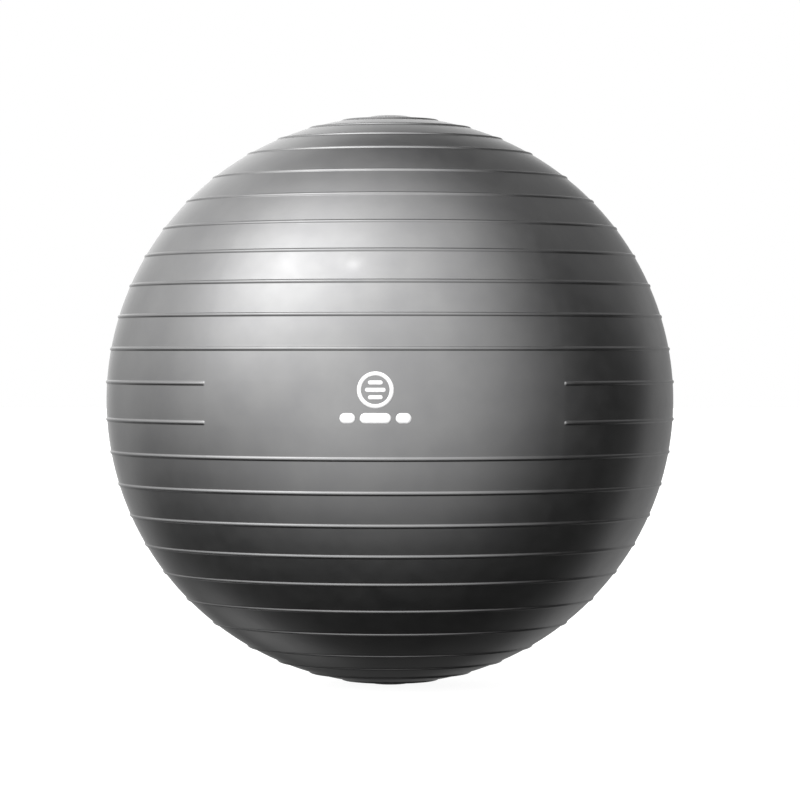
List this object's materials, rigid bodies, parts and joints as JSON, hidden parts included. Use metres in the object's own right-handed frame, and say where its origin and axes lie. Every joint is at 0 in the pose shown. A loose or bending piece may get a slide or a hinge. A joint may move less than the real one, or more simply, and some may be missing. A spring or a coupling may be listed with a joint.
{
  "type": "exercise ball",
  "caption": "Inflated ball with grip ribs that run round it, smooth windows at the equator, a raised pad with a small flat at each pole and a push-in air plug in a bonded valve seat.",
  "frame": {"origin": "the centre of the ball", "axes": "+Z is the axis that the ribs run round and points up, the print faces -Y and the valve faces +Y"},
  "size_m": [0.6512, 0.6502, 0.6524],
  "materials": {
    "skin": "satin soft PVC in a metallic pearl grey, with a fine moulded grain",
    "seat": "satin, the same pearl grey as the skin, a little duller",
    "plug": "satin off-white moulded plastic",
    "ink": "satin white screen-printing ink"
  },
  "bodies": {
    "ball": {"ball_shell": "skin", "valve_seat": "seat", "printed_mark": "ink"},
    "plug": {"valve_plug": "plug"}
  },
  "joints": [
    {"name": "plug_pull", "type": "slide", "parent": "ball", "child": "plug", "axis": [0, 1, 0], "range_m": [0, 0.03]}
  ]
}
